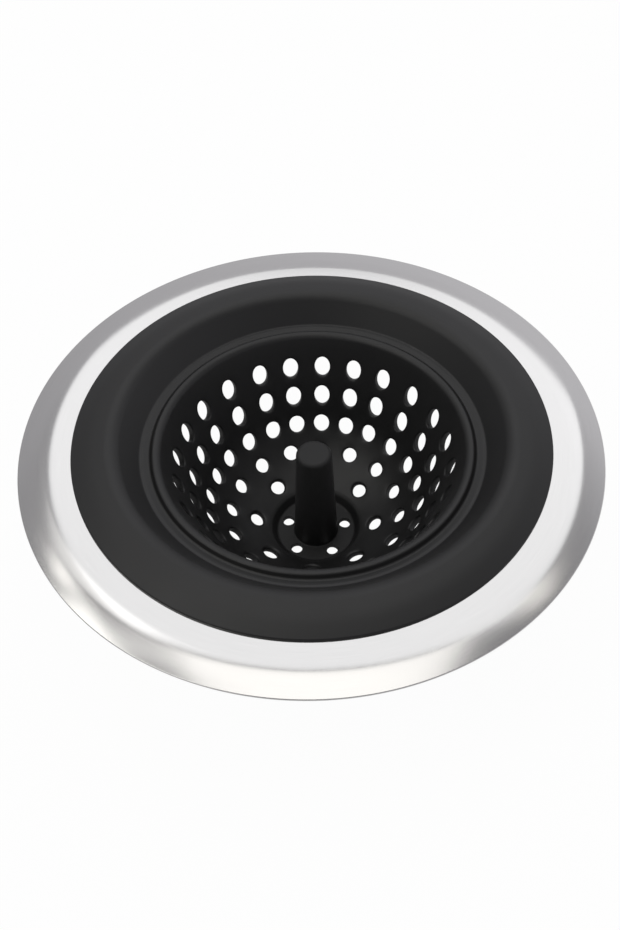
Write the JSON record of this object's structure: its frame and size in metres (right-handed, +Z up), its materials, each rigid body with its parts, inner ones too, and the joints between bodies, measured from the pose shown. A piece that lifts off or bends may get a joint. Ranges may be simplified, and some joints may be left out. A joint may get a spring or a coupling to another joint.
{
  "type": "sink strainer",
  "caption": "Kitchen sink strainer: a flat pressed steel rim with a soft perforated basket that turns inside out by a short centre post for emptying.",
  "frame": {"origin": "centre of the plane that the rim and the gasket ring rest on", "axes": "+Z up out of the drain along the axis of the rim; the ring of foot holes has one hole towards +Y"},
  "size_m": [0.114, 0.114, 0.035],
  "materials": {
    "steel": "satin brushed round the ring",
    "silicone": "matt moulded silicone"
  },
  "bodies": {
    "rim": {"steel_rim": "steel", "basket_flange": "silicone", "basket_bowl": "silicone"},
    "centre": {"centre_post": "silicone"}
  },
  "joints": [
    {"name": "basket_invert", "type": "slide", "parent": "rim", "child": "centre", "axis": [0, 0, 1], "range_m": [0, 0.05], "deforming": ["basket_bowl"]}
  ]
}
